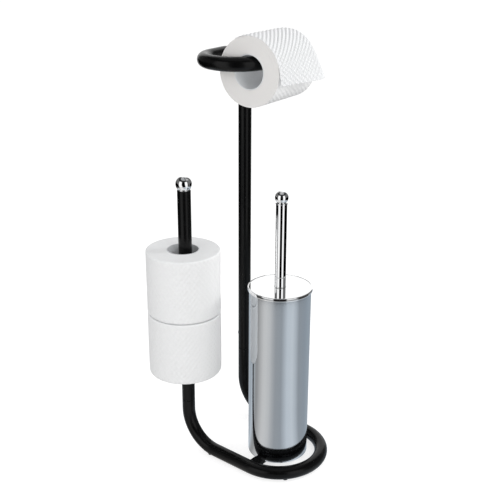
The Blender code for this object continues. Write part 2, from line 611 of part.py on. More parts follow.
CORE_BORE = STEM_SOCKET_RADIUS + TOUCH_GAP
CORE_BORE_BOTTOM = STEM_END - STEM_SOCKET_LENGTH - TOUCH_GAP
CORE_FOOT = HEAD_BOTTOM - BRISTLE_TIP_RISE
core_profile = [(0, CORE_FOOT), (HEAD_CORE_RADIUS / 2, CORE_FOOT),
                (HEAD_CORE_RADIUS, HEAD_BOTTOM), (HEAD_CORE_RADIUS, HEAD_TOP), (CORE_BORE, HEAD_TOP),
                (CORE_BORE, CORE_BORE_BOTTOM), (0, CORE_BORE_BOTTOM)]
add_object("brush_core", turned(core_profile, STEM_SIDES), WHITE_PLASTIC, BRUSH)


def bristle_sleeve():
    """Sleeve round the brush core, with one strand standing on each of its outer faces."""
    root_radius = HEAD_CORE_RADIUS + TOUCH_GAP
    outer = root_radius + BRISTLE_BACKING
    levels = [HEAD_BOTTOM + HEAD_HEIGHT * i / BRISTLE_ROWS for i in range(BRISTLE_ROWS + 1)]
    bm = turned([(root_radius, HEAD_BOTTOM), *[(outer, z) for z in levels], (root_radius, HEAD_TOP)],
                BRISTLE_COLUMNS)
    skin_limit = root_radius + BRISTLE_BACKING / 2
    for face in list(bm.faces):
        middle = face.calc_center_median()
        outward = Vector((middle.x, middle.y, 0))
        if min(Vector((v.co.x, v.co.y)).length for v in face.verts) < skin_limit:
            continue
        outward.normalize()
        sideways = UP.cross(outward)
        corners = list(face.verts)
        root = []
        for corner in corners:
            reach = corner.co - middle
            spread = math.copysign(BRISTLE_ROOT, reach.dot(sideways)) * sideways
            lift = math.copysign(BRISTLE_ROOT, reach.z) * UP
            root.append(bm.verts.new(middle + spread + lift))
        share = (middle.z - HEAD_BOTTOM) / HEAD_HEIGHT * 2 - 1
        tip = bm.verts.new(middle + outward * (BRISTLE_RADIUS - outer) + UP * BRISTLE_TIP_RISE * share)
        bm.faces.remove(face)
        count = len(corners)
        for i in range(count):
            after = (i + 1) % count
            bm.faces.new((corners[i], corners[after], root[after], root[i]))
            bm.faces.new((root[i], root[after], tip))
    return bm


add_object("brush_bristles", bristle_sleeve(), BRISTLE, BRUSH)


# Paper rolls

def add_roll(name, parent, radius, bottom):
    """Cardboard core and wound paper of one roll, along the Z axis of what carries it."""
    core_outer = ROLL_CORE_RADIUS + ROLL_CORE_WALL
    core = sleeve_profile(core_outer, ROLL_CORE_RADIUS, bottom, bottom + ROLL_LENGTH)
    paper = sleeve_profile(radius, core_outer + TOUCH_GAP, bottom, bottom + ROLL_LENGTH)
    add_object(name + "_core", turned(core, CORE_SIDES), CARD, parent)
    add_object(name + "_paper", turned(paper, ROLL_SIDES), PAPER, parent)


LOWER_ROLL = add_empty("lower_roll_axis", (SPARE_X, SPARE_Y, 0), STAND)
UPPER_ROLL = add_empty("upper_roll_axis", (0, 0, 0), LOWER_ROLL)
add_roll("lower_roll", LOWER_ROLL, SPARE_ROLL_RADIUS, LOWER_ROLL_BOTTOM)
add_roll("upper_roll", UPPER_ROLL, SPARE_ROLL_RADIUS, UPPER_ROLL_BOTTOM)

TOP_ROLL = add_empty("top_roll_axis", TOP_ROLL_FACE, STAND)
TOP_ROLL.rotation_mode = "QUATERNION"
TOP_ROLL.rotation_quaternion = Matrix((UP, ARM_SIDE, -ARM_OUT)).transposed().to_quaternion()
add_roll("top_roll", TOP_ROLL, TOP_ROLL_RADIUS, 0)


def loose_sheet():
    """Free end of the paper, over the top of the roll and off its front, in the roll's own axes."""
    bm = bmesh.new()
    inner_skin = []
    outer_skin = []
    for i in range(SHEET_LENGTH_STEPS + 1):
        angle = SHEET_START_ANGLE + (SHEET_END_ANGLE - SHEET_START_ANGLE) * i / SHEET_LENGTH_STEPS
        lifted = max(0, (SHEET_LIFT_ANGLE - angle) / (SHEET_LIFT_ANGLE - SHEET_END_ANGLE)) ** 3
        low_row = []
        high_row = []
        for k in range(SHEET_WIDTH_STEPS + 1):
            across = k / SHEET_WIDTH_STEPS
            flare = SHEET_FLARE_LEFT + (SHEET_FLARE_RIGHT - SHEET_FLARE_LEFT) * across
            low = TOP_ROLL_RADIUS + TOUCH_GAP + flare * lifted
            for row, radius in ((low_row, low), (high_row, low + SHEET_THICKNESS)):
                row.append(bm.verts.new((radius * math.sin(angle), radius * math.cos(angle),
                                         ROLL_LENGTH * across)))
        inner_skin.append(low_row)
        outer_skin.append(high_row)
    for skin in (inner_skin, outer_skin):
        for row, after in zip(skin, skin[1:]):
            for k in range(SHEET_WIDTH_STEPS):
                bm.faces.new((row[k], row[k + 1], after[k + 1], after[k]))
    edges = ([inner_skin[0], outer_skin[0]], [inner_skin[-1], outer_skin[-1]],
             [[row[0] for row in inner_skin], [row[0] for row in outer_skin]],
             [[row[-1] for row in inner_skin], [row[-1] for row in outer_skin]])
    for low, high in edges:
        for k in range(len(low) - 1):
            bm.faces.new((low[k], low[k + 1], high[k + 1], high[k]))
    return bm


add_object("loose_sheet", loose_sheet(), PAPER, TOP_ROLL)
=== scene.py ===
"""Looks of the toilet butler stand: coated tube, chrome and steel brush holder, embossed paper rolls."""
import math

import bpy
from mathutils import Matrix, Quaternion, Vector, noise


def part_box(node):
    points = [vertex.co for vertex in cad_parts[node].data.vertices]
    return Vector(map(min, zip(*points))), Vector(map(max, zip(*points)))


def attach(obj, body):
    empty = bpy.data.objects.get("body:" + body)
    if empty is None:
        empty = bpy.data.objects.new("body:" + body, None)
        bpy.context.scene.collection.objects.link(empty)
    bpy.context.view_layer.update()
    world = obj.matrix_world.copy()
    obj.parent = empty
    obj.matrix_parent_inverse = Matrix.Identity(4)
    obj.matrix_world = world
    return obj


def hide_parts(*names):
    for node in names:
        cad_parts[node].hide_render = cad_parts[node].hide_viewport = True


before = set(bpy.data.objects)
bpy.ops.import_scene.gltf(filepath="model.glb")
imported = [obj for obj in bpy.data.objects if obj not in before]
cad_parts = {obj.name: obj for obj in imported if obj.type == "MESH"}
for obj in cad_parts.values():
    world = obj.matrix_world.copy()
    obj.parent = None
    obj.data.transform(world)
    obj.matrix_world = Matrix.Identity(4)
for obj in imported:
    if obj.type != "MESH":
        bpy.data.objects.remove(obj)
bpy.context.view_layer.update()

MM = 0.001
UP = Vector((0, 0, 1))
BACK = Vector((0, 1, 0))
FRONT = -BACK
RIGHT = Vector((1, 0, 0))
QUARTER = math.pi / 2
WHOLE = 2 * math.pi

# Bent tube
TUBE_RADIUS = 9.5 * MM
TUBE_WALL = 1.2 * MM
TUBE_SIDES = 48
TUBE_END_EDGE = 0.6 * MM
SEAM_GAP = 0.3 * MM
BEND_STEP = math.radians(4)
UPRIGHT_BEND_RADIUS = 52.4 * MM
BASE_LOOP_RADIUS = 64.6 * MM
ARM_LOOP_RADIUS = 42.7 * MM
ARM_HEIGHT = 578.9 * MM
ARM_TWIST = math.radians(5.95)
ARM_FAR_RUN = 82.1 * MM
ARM_NEAR_RUN = 72.7 * MM
ARM_OUT = Vector((-math.cos(ARM_TWIST), -math.sin(ARM_TWIST), 0))
ARM_SIDE = Vector((math.sin(ARM_TWIST), -math.cos(ARM_TWIST), 0))

# Turned pieces
ROUND_SIDES = 64
SHARP = math.radians(38)
EDGE = 0.3 * MM
EDGE_SEGMENTS = 3
DOUBLES_APART = 0.002 * MM

# Paper rolls and the loose sheet
ROLL_LENGTH = 93.5 * MM
CORE_INNER = 21.5 * MM
CORE_WALL = 1.2 * MM
CORE_GAP = 0.2 * MM
TOP_ROLL_RADIUS = 45.1 * MM
SHEET_LENGTH = 109 * MM

# Spacing of the emboss's waves along a roll and down the sheet, and their number round a roll
EMBOSS_ACROSS = 9.2 * MM
EMBOSS_DOWN = 6.3 * MM
EMBOSS_ROUND = 48.0


# Modelling helpers

def deselect():
    """Nothing is left selected, so that an operator acts on the new piece alone."""
    bpy.ops.object.select_all(action="DESELECT")


def pick(piece):
    """Make one piece the selected and active one."""
    deselect()
    piece.select_set(True)
    bpy.context.view_layer.objects.active = piece


def apply(piece, kind, **settings):
    """Add a modifier and apply it."""
    pick(piece)
    modifier = piece.modifiers.new(kind.lower(), kind)
    for name, value in settings.items():
        setattr(modifier, name, value)
    bpy.ops.object.modifier_apply(modifier=modifier.name)


def close_skin(piece):
    """Merge doubled points and turn all faces outwards."""
    pick(piece)
    bpy.ops.object.mode_set(mode="EDIT")
    bpy.ops.mesh.select_all(action="SELECT")
    bpy.ops.mesh.remove_doubles(threshold=DOUBLES_APART)
    bpy.ops.mesh.normals_make_consistent(inside=False)
    bpy.ops.object.mode_set(mode="OBJECT")


def settle(piece):
    """Put the piece's place and turn into its mesh."""
    pick(piece)
    bpy.ops.object.transform_apply(location=True, rotation=True, scale=True)


def polish(piece, edge=EDGE):
    """Rounded edges, and flat faces that stay flat in their shading."""
    if edge:
        apply(piece, "BEVEL", width=edge, segments=EDGE_SEGMENTS, limit_method="ANGLE", angle_limit=SHARP)
    pick(piece)
    bpy.ops.object.shade_smooth_by_angle(angle=SHARP)
    apply(piece, "WEIGHTED_NORMAL", keep_sharp=True, weight=100)


def hand_over(piece, name, body, finish, slot, *nodes):
    """Name the finished piece, give it its finish and body, and let it stand for its CAD nodes."""
    piece.name = name
    piece.data.name = name
    piece.data.materials.clear()
    piece.data.materials.append(finish)
    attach(piece, body)
    if nodes:
        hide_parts(*nodes)
    return piece


def join(pieces):
    """One piece from several."""
    deselect()
    for piece in pieces:
        piece.select_set(True)
    bpy.context.view_layer.objects.active = pieces[0]
    bpy.ops.object.join()
    return pieces[0]


def copy_at(piece, matrix):
    """Copy with its own mesh, placed by a matrix in that mesh."""
    twin = piece.copy()
    twin.data = piece.data.copy()
    twin.data.transform(matrix)
    bpy.context.collection.objects.link(twin)
    return twin


def turned(outline, place, sides=ROUND_SIDES, facing=UP, edge=EDGE):
    """Turned piece: a ring drawn out along (radius, height) points, closed at the axis or on itself."""
    points = [point for point in outline if point[0] > 0]
    radius, height = points[0]
    deselect()
    bpy.ops.mesh.primitive_circle_add(vertices=sides, radius=radius, location=(0, 0, height),
                                      fill_type="NGON" if outline[0][0] == 0 else "NOTHING")
    piece = bpy.context.object
    bpy.ops.object.mode_set(mode="EDIT")
    rest = points[1:] if outline[0][0] == 0 else points[1:] + points[:1]
    for next_radius, next_height in rest:
        bpy.ops.mesh.extrude_edges_move(TRANSFORM_OT_translate={"value": (0, 0, next_height - height)})
        if next_radius != radius:
            share = next_radius / radius
            bpy.ops.transform.resize(value=(share, share, 1), center_override=(0, 0, next_height))
        radius, height = next_radius, next_height
    if outline[0][0] == 0:
        if outline[-1][1] == height:
            bpy.ops.mesh.edge_face_add()
        else:
            bpy.ops.mesh.extrude_edges_move(TRANSFORM_OT_translate={"value": (0, 0, outline[-1][1] - height)})
            bpy.ops.mesh.merge(type="CENTER")
    bpy.ops.object.mode_set(mode="OBJECT")
    settle(piece)
    close_skin(piece)
    piece.rotation_mode = "QUATERNION"
    piece.rotation_quaternion = UP.rotation_difference(facing)
    piece.location = place
    settle(piece)
    polish(piece, edge)
    return piece


def ring_outline(outer, inner, bottom, top):
    """Closed outline of a plain ring or tube."""
    return [(outer, bottom), (outer, top), (inner, top), (inner, bottom)]


def bent_tube(start, heading, runs):
    """Tube led from a ring through straight lengths and (angle, radius, towards) bends."""
    deselect()
    bpy.ops.mesh.primitive_circle_add(vertices=TUBE_SIDES, radius=TUBE_RADIUS, location=start,
                                      fill_type="NOTHING")
    tube = bpy.context.object
    bpy.ops.object.mode_set(mode="EDIT")
    place = start.copy()
    for run in runs:
        if isinstance(run, float):
            bpy.ops.mesh.extrude_edges_move(TRANSFORM_OT_translate={"value": heading * run})
            place += heading * run
            continue
        angle, radius, towards = run
        centre = place + towards * radius
        axis = heading.cross(towards)
        bpy.ops.mesh.spin(steps=round(angle / BEND_STEP), angle=angle, center=centre, axis=-axis,
                          dupli=False)
        bend = Matrix.Rotation(angle, 3, axis)
        place = centre + bend @ (place - centre)
        heading = bend @ heading
    bpy.ops.object.mode_set(mode="OBJECT")
    settle(tube)
    close_skin(tube)
    apply(tube, "SOLIDIFY", thickness=TUBE_WALL, offset=-1)
    polish(tube, TUBE_END_EDGE)
    return tube


# Finishes

class Wire:
    """One socket in a finish. Arithmetic on it adds Math nodes."""

    def __init__(self, tree, socket=None):
        self.tree = tree
        self.socket = socket

    def node(self, kind, settings=None, values=None, output=0):
        """Add a node: its settings first, then the values or links of its sockets."""
        made = self.tree.nodes.new(kind)
        for name, value in (settings or {}).items():
            if name == "stops":
                ends = made.color_ramp.elements
                ends[0].position, ends[0].color = value[0]
                ends[1].position, ends[1].color = value[-1]
                for position, colour in value[1:-1]:
                    ends.new(position).color = colour
            else:
                setattr(made, name, value)
        for name, value in (values or {}).items():
            if isinstance(value, Wire):
                self.tree.links.new(value.socket, made.inputs[name])
            else:
                made.inputs[name].default_value = value
        return Wire(self.tree, made.outputs[output]) if made.outputs else None

    def maths(self, operation, first, second=0.0):
        """One Math node."""
        return self.node("ShaderNodeMath", {"operation": operation}, {0: first, 1: second})

    def __add__(self, other):
        return self.maths("ADD", self, other)

    __radd__ = __add__

    def __sub__(self, other):
        return self.maths("SUBTRACT", self, other)

    def __rsub__(self, other):
        return self.maths("SUBTRACT", other, self)

    def __mul__(self, other):
        return self.maths("MULTIPLY", self, other)

    __rmul__ = __mul__

    def __pow__(self, other):
        return self.maths("POWER", self, other)

    def cloud(self, scale, detail=2.0):
        """Noise over this position, from 0 to 1."""
        return self.node("ShaderNodeTexNoise", {}, {"Vector": self, "Scale": scale, "Detail": detail}, "Fac")

    def axis(self, name):
        """One coordinate of this position."""
        return self.node("ShaderNodeSeparateXYZ", {}, {"Vector": self}, name)

    def band(self, low, high):
        """0 below low, 1 above high, smooth between."""
        return self.node("ShaderNodeMapRange", {"interpolation_type": "SMOOTHSTEP"},
                         {"Value": self, "From Min": low, "From Max": high})

    def between(self, first, second):
        """Colour from first to second as this goes from 0 to 1."""
        return self.node("ShaderNodeMix", {"data_type": "RGBA"}, {0: self, 6: first, 7: second}, 2)

    def relief(self, depth, strength=1.0):
        """Bumps of this height map, so many metres deep at a height of 1."""
        return self.node("ShaderNodeBump", {}, {"Height": self, "Distance": depth, "Strength": strength})


def grey(value, tint=0.0):
    """Near-neutral colour. A positive tint makes it bluish and a negative one warm."""
    return (value * (1 - tint), value, value * (1 + tint), 1)


def start_finish(name):
    """New material with its place on the object."""
    material = bpy.data.materials.new(name)
    material.use_nodes = True
    material.node_tree.nodes.clear()
    return material, Wire(material.node_tree).node("ShaderNodeTexCoord", output="Object")


def end_finish(where, sockets):
    """Close a material with its shader."""
    shader = where.node("ShaderNodeBsdfPrincipled", {}, sockets, "BSDF")
    where.node("ShaderNodeOutputMaterial", {}, {"Surface": shader})


def powder_coat():
    """Satin black powder coat, finely pebbled."""
    material, where = start_finish("black_powder_coat")
    pebble = where.cloud(1100.0)
    flow = where.cloud(240.0)
    dust = where.cloud(60.0, 5.0).band(0.5, 0.85)
    end_finish(where, {"Base Color": dust.between(grey(0.0025, 0.03), grey(0.0045, 0.02)),
                       "Roughness": 0.2 + flow * 0.07 + dust * 0.06,
                       "Specular IOR Level": 0.2,
                       "Normal": (pebble * 0.5 + flow).relief(0.02 * MM, 0.5)})
    return material


def bright_chrome():
    """Mirror chrome with faint smears."""
    material, where = start_finish("bright_chrome")
    smear = where.cloud(90.0, 4.0)
    end_finish(where, {"Base Color": smear.between(grey(0.97, 0.002), grey(0.93, 0.006)),
                       "Metallic": 1.0,
                       "Roughness": 0.01 + smear ** 2.0 * 0.02})
    return material


def polished_steel():
    """Steel sheet polished round the cup, with fine lines round it."""
    material, where = start_finish("polished_steel")
    lines = where.node("ShaderNodeMapping", {}, {"Vector": where, "Scale": (60, 60, 5200)}).cloud(1.0, 3.0)
    patch = where.cloud(26.0, 3.0)
    end_finish(where, {"Base Color": patch.between(grey(0.6, 0.045), grey(0.64, 0.04)),
                       "Metallic": 1.0,
                       "Roughness": 0.05 + patch * 0.03 + lines * 0.03,
                       "Normal": lines.relief(0.004 * MM, 0.3)})
    return material


def zinc_plate():
    """Zinc plated small parts."""
    material, where = start_finish("zinc_plate")
    spangle = where.cloud(420.0, 3.0)
    end_finish(where, {"Base Color": spangle.between(grey(0.5, 0.02), grey(0.6, 0.015)),
                       "Metallic": 1.0,
                       "Roughness": 0.28 + spangle * 0.16,
                       "Normal": spangle.relief(0.02 * MM, 0.3)})
    return material


def moulding(name, colour, roughness, grain_depth):
    """Moulded plastic or rubber with a fine grain."""
    material, where = start_finish(name)
    grain = where.cloud(1500.0, 3.0)
    wear = where.cloud(70.0, 4.0)
    lighter = tuple(min(1, part * 1.12 + 0.004) for part in colour)
    end_finish(where, {"Base Color": wear.between((*colour, 1), (*lighter, 1)),
                       "Roughness": roughness + wear * 0.1,
                       "Normal": grain.relief(grain_depth)})
    return material


def wound_card(name, level):
    """Bluish grey board of a core, with fibres and flecks."""
    material, where = start_finish(name)
    fibre = where.cloud(700.0, 5.0)
    fleck = where.cloud(190.0, 4.0)
    mottle = fibre * 0.6 + fleck * 0.4
    end_finish(where, {"Base Color": mottle.between(grey(level * 0.93, 0.02), grey(level, 0.025)),
                       "Roughness": 0.78,
                       "Normal": fibre.relief(0.08 * MM)})
    return material


# How far in from a roll's end its look starts to show and is full, and the bands of its layers
END_LOOK_FROM = 1.8 * MM
END_LOOK_FULL = 0.8 * MM
LAYER_SPACING = 0.85 * MM
LAYER_WOBBLE = 0.9 * MM
LAYER_DRIFT = 0.05 * MM


def paper_finish(name, centre, axis, end_tone, end_tint):
    """Tissue wound on a roll: embossed round its side, layered on its ends, whose tone is set for each roll.
    """
    material, where = start_finish(name)
    turn = UP.rotation_difference(axis).to_euler()
    local = where.node("ShaderNodeMapping", {"vector_type": "TEXTURE"},
                       {"Vector": where, "Location": centre, "Rotation": turn})
    x, y, along = local.axis("X"), local.axis("Y"), local.axis("Z")
    out = local.maths("SQRT", x ** 2.0 + y ** 2.0)
    angle = local.maths("ARCTAN2", y, x)
    end = local.maths("MAXIMUM", (along * -1.0).band(-END_LOOK_FROM, -END_LOOK_FULL),
                      along.band(ROLL_LENGTH - END_LOOK_FROM, ROLL_LENGTH - END_LOOK_FULL))
    fibre = local.cloud(900.0, 4.0)
    round_side, rise = angle * EMBOSS_ROUND, along * (WHOLE / EMBOSS_ACROSS)
    slant = local.maths("SINE", rise + round_side)
    cross = local.maths("SINE", rise - round_side)
    side_height = slant * 0.6 + cross * 0.8 + fibre * 0.3
    wobble = local.cloud(35.0, 3.0)
    depth = out + wobble * LAYER_WOBBLE + angle * LAYER_DRIFT
    layers = local.maths("SINE", depth * (WHOLE / LAYER_SPACING))
    fine = local.node("ShaderNodeMapping", {}, {"Vector": local, "Scale": (1, 1, 0.02)}).cloud(1600.0, 3.0)
    end_height = layers * 0.35 + fine * 0.9
    height = side_height * (1 - end) + end_height * end
    tone = (1 - end) * 0.55 + fibre * 0.25 + end * (layers * 0.05 + fine * 0.35)
    side_colour = tone.between(grey(0.79, 0.004), grey(0.86, 0.004))
    end_colour = tone.between(grey(end_tone, end_tint), grey(end_tone + 0.07, end_tint))
    end_finish(where, {"Base Color": end.between(side_colour, end_colour),
                       "Roughness": 0.88,
                       "Normal": height.relief(0.16 * MM)})
    return material


def sheet_finish():
    """Loose tissue, its emboss sharpened where the sheet's own waves run, laid out by the sheet's map."""
    material, where = start_finish("embossed_sheet")
    flat = where.node("ShaderNodeUVMap")
    across = flat.axis("X") * (ROLL_LENGTH / EMBOSS_ACROSS)
    down = (1.0 - flat.axis("Y")) * (SHEET_LENGTH / EMBOSS_DOWN)
    first = flat.maths("SINE", (across + down) * WHOLE)
    second = flat.maths("SINE", (across - down) * WHOLE)
    millimetres = (ROLL_LENGTH / MM, SHEET_LENGTH / MM, 1)
    fine = flat.node("ShaderNodeMapping", {}, {"Vector": flat, "Scale": millimetres}).cloud(1.6, 4.0)
    height = first * 4.4 + second * 1.9 + fine
    # The sheet's tissue is darker than the side of its roll: painted shade that holds back the stronger light
    # falling on the sheet
    end_finish(where, {"Base Color": fine.between(grey(0.74, 0.01), grey(0.79, 0.01)),
                       "Roughness": 0.86,
                       "Normal": height.relief(0.08 * MM)})
    return material


# The finishes in use

COAT = powder_coat()
CHROME = bright_chrome()
STEEL = polished_steel()
ZINC = zinc_plate()
BLACK_PLASTIC = moulding("black_plug_plastic", (0.018, 0.018, 0.018), 0.42, 0.02 * MM)
RUBBER = moulding("pad_rubber", (0.026, 0.026, 0.026), 0.72, 0.05 * MM)
WHITE_PLASTIC = moulding("white_plastic", (0.78, 0.78, 0.77), 0.36, 0.012 * MM)
NYLON = moulding("bristle_nylon", (0.84, 0.84, 0.83), 0.4, 0.004 * MM)
# Two copies of one core board: the darker is painted shade for the holes of the spare rolls, the paler is
# painted light inside the roll in use
SHADED_CARD = wound_card("wound_card", 0.62)
LIT_CARD = wound_card("lit_wound_card", 0.78)


# Places read off the CAD

def middle(node):
    """Middle of a node's box in plan."""
    low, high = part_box(node)
    return Vector(((low.x + high.x) / 2, (low.y + high.y) / 2, 0))


def heights(node):
    """Lowest and highest of a node."""
    low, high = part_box(node)
    return low.z, high.z


def half_width(node):
    """Half of a node's width, which is the radius of a round one."""
    low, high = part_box(node)
    return (high.x - low.x) / 2


POST = middle("spare_roll_post")
POST_BOTTOM, POST_TOP = heights("spare_roll_post")
BASE_LOW, BASE_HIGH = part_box("base_tube")
TUBE_HEIGHT = BASE_LOW.z + TUBE_RADIUS
POLE = Vector((BASE_HIGH.x - TUBE_RADIUS, POST.y, 0))
POLE_BOTTOM = heights("pole_tube")[0]
HOLDER = middle("holder_shell")
POST_SEAM = POST_BOTTOM - SEAM_GAP
POLE_SEAM = POLE_BOTTOM - SEAM_GAP


# Stand of bent tube

BEND_TOP = TUBE_HEIGHT + UPRIGHT_BEND_RADIUS
BASE_RUN = POST.y - UPRIGHT_BEND_RADIUS - HOLDER.y
base = bent_tube(Vector((POST.x, POST.y, POST_SEAM)), -UP,
                 [POST_SEAM - BEND_TOP, (QUARTER, UPRIGHT_BEND_RADIUS, FRONT), BASE_RUN,
                  (math.pi, BASE_LOOP_RADIUS, RIGHT), BASE_RUN,
                  (QUARTER, UPRIGHT_BEND_RADIUS, UP), POLE_SEAM - BEND_TOP])
hand_over(base, "bent_base_tube", "stand", COAT, "black_coat", "base_tube")

pole = bent_tube(Vector((POLE.x, POLE.y, POLE_BOTTOM)), UP,
                 [ARM_HEIGHT - UPRIGHT_BEND_RADIUS - POLE_BOTTOM, (QUARTER, UPRIGHT_BEND_RADIUS, ARM_OUT),
                  ARM_FAR_RUN - UPRIGHT_BEND_RADIUS, (math.pi, ARM_LOOP_RADIUS, ARM_SIDE), ARM_NEAR_RUN])
hand_over(pole, "bent_pole_and_arm", "stand", COAT, "black_coat", "pole_tube")

post = bent_tube(Vector((POST.x, POST.y, POST_BOTTOM)), UP, [POST_TOP - POST_BOTTOM])
hand_over(post, "spare_roll_upright", "stand", COAT, "black_coat", "spare_roll_post")


# Cross bar, its ends hollowed to meet the hairpin, with a weld bead at each end above and below

BAR_LOW, BAR_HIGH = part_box("cross_bar")
BAR_WIDTH = BAR_HIGH.y - BAR_LOW.y
BAR_CUTS = 7
BAR_GAP = 0.1 * MM
TUBE_INSIDE = BASE_LOOP_RADIUS - TUBE_RADIUS
BEAD_RIPPLES = 13
BEAD_INSET = 0.4 * MM
BEAD_LIFT = 0.3 * MM
RIPPLE_RADIUS = 1.7 * MM


def bar_reach(y, short):
    """How far from the holder's axis the bar ends, this much short of the hairpin's inside."""
    return math.sqrt(TUBE_INSIDE ** 2 - min(y, 0) ** 2) - short


deselect()
bpy.ops.mesh.primitive_cube_add(size=1, location=(HOLDER.x, HOLDER.y, (BAR_LOW.z + BAR_HIGH.z) / 2),
                                scale=(2 * TUBE_INSIDE, BAR_WIDTH, BAR_HIGH.z - BAR_LOW.z))
bar = bpy.context.object
bpy.ops.object.mode_set(mode="EDIT")
bpy.ops.mesh.subdivide(number_cuts=BAR_CUTS)
bpy.ops.object.mode_set(mode="OBJECT")
settle(bar)
for point in bar.data.vertices:
    off = point.co - HOLDER
    if abs(off.x) > TUBE_INSIDE - BAR_GAP:
        point.co.x = HOLDER.x + math.copysign(bar_reach(off.y, BAR_GAP), off.x)
polish(bar, 0.5 * MM)
hand_over(bar, "welded_cross_bar", "stand", COAT, "black_coat", "cross_bar")


def weld_beads():
    """Rippled weld beads where the bar meets the tube."""
    deselect()
    bpy.ops.mesh.primitive_uv_sphere_add(segments=14, ring_count=8, radius=RIPPLE_RADIUS)
    ripple = bpy.context.object
    bpy.ops.object.mode_set(mode="EDIT")
    bpy.ops.mesh.select_all(action="SELECT")
    bpy.ops.transform.resize(value=(1, 0.62, 0.7))
    bpy.ops.mesh.bisect(plane_co=(0, 0, -0.5 * MM), plane_no=(0, 0, 1), use_fill=True, clear_inner=True)
    bpy.ops.object.mode_set(mode="OBJECT")
    ripples = []
    for side in (-1, 1):
        for level, height in ((-1, BAR_LOW.z), (1, BAR_HIGH.z)):
            tilt = Matrix.Rotation(0 if level > 0 else math.pi, 4, "Y")
            for i in range(BEAD_RIPPLES):
                y = BAR_WIDTH * ((i + 0.5) / BEAD_RIPPLES - 0.5)
                reach = bar_reach(y, BEAD_INSET)
                place = HOLDER + Vector((side * reach, y, height + level * BEAD_LIFT))
                ripples.append(copy_at(ripple, Matrix.Translation(place) @ tilt))
    bpy.data.objects.remove(ripple)
    beads = join(ripples)
    pick(beads)
    bpy.ops.object.shade_smooth()
    return beads


hand_over(weld_beads(), "weld_beads", "stand", COAT, "black_coat")


# Balls at the tube ends

STUD_LENGTH = 14 * MM
BALL_SEAM = 0.1 * MM
BALL_RINGS = 22


def ball_outline(radius, neck, collar, collar_top, stud):
    """Ball on a neck and a rounded collar, along Z with the tube's end at zero."""
    rise = collar_top + math.sqrt(radius ** 2 - neck ** 2)
    low = -math.acos(neck / radius)
    arc = [low + (QUARTER - low) * i / BALL_RINGS for i in range(BALL_RINGS)]
    return [(0, -STUD_LENGTH), (stud, -STUD_LENGTH), (stud, BALL_SEAM), (collar, BALL_SEAM),
            (collar, collar_top), *[(radius * math.cos(a), rise + radius * math.sin(a)) for a in arc],
            (0, rise + radius)]


ARM_END = Vector((POLE.x, POLE.y, ARM_HEIGHT)) + ARM_OUT * (ARM_FAR_RUN - ARM_NEAR_RUN)
ARM_END += ARM_SIDE * ARM_LOOP_RADIUS * 2
for ball_name, node, place, facing in (("post_end_ball", "post_ball", Vector((POST.x, POST.y, POST_TOP)), UP),
                                       ("arm_end_ball", "arm_ball", ARM_END, -ARM_OUT)):
    ball = turned(ball_outline(radius=11.5 * MM, neck=8.5 * MM, collar=9.2 * MM, collar_top=0.8 * MM,
                               stud=3 * MM), place, facing=facing)
    hand_over(ball, ball_name, "stand", CHROME, "chrome", node)


# Collar under the spare rolls

STOP_BOTTOM, STOP_TOP = heights("roll_stop")
STOP_RADIUS = half_width("roll_stop")
STOP_BORE = 9.7 * MM
STOP_HUB = 14 * MM
STOP_PLATE = 3 * MM
stop = turned([(STOP_BORE, STOP_BOTTOM), (STOP_HUB, STOP_BOTTOM), (STOP_HUB, STOP_TOP - STOP_PLATE),
               (STOP_RADIUS, STOP_TOP - STOP_PLATE), (STOP_RADIUS, STOP_TOP), (STOP_BORE, STOP_TOP)],
              POST, edge=0.6 * MM)
hand_over(stop, "roll_stop_collar", "stand", COAT, "black_coat", "roll_stop")


# Screw at the pole's seam, with its cross recess

def cross_screw(place, facing):
    """Pan head screw with a cross cut in its head, its outline and the cross given in millimetres."""
    outline = ((0, -5), (1.9, -5), (1.9, 0), (3.3, 0), (3.3, 0.9), (3, 1.5), (2.2, 1.9), (1.1, 2), (0, 2))
    cut_width, cut_depth, cut_length, cut_height = 0.7, 1.6, 3.2, 1.7
    screw = turned([(radius * MM, height * MM) for radius, height in outline], place, sides=32,
                   facing=facing, edge=0.12 * MM)
    for turn in (0, QUARTER):
        deselect()
        bpy.ops.mesh.primitive_cube_add(size=1, location=place + facing * cut_height * MM,
                                        rotation=(0, turn, 0),
                                        scale=(cut_width * MM, cut_depth * MM, cut_length * MM))
        slot = bpy.context.object
        settle(slot)
        apply(slot, "BEVEL", width=0.15 * MM, segments=2)
        apply(screw, "BOOLEAN", operation="DIFFERENCE", solver="EXACT", object=slot)
        bpy.data.objects.remove(slot)
    pick(screw)
    bpy.ops.object.shade_smooth_by_angle(angle=SHARP)
    return screw


SCREW_HEIGHT = sum(heights("pole_screw")) / 2
screw = cross_screw(Vector((POLE.x, POLE.y + TUBE_RADIUS + 0.1 * MM, SCREW_HEIGHT)), BACK)
hand_over(screw, "pole_seam_screw", "stand", ZINC, "zinc", "pole_screw")


# Brush holder

WIDE_SIDES = 128
SHELL_BOTTOM, SHELL_TOP = heights("holder_shell")
SHELL_RADIUS = half_width("holder_shell")
SHELL_WALL = 0.8 * MM
shell = turned(ring_outline(SHELL_RADIUS, SHELL_RADIUS - SHELL_WALL, SHELL_BOTTOM, SHELL_TOP),
               HOLDER, sides=WIDE_SIDES, edge=0.25 * MM)
hand_over(shell, "steel_cup", "stand", STEEL, "steel", "holder_shell")

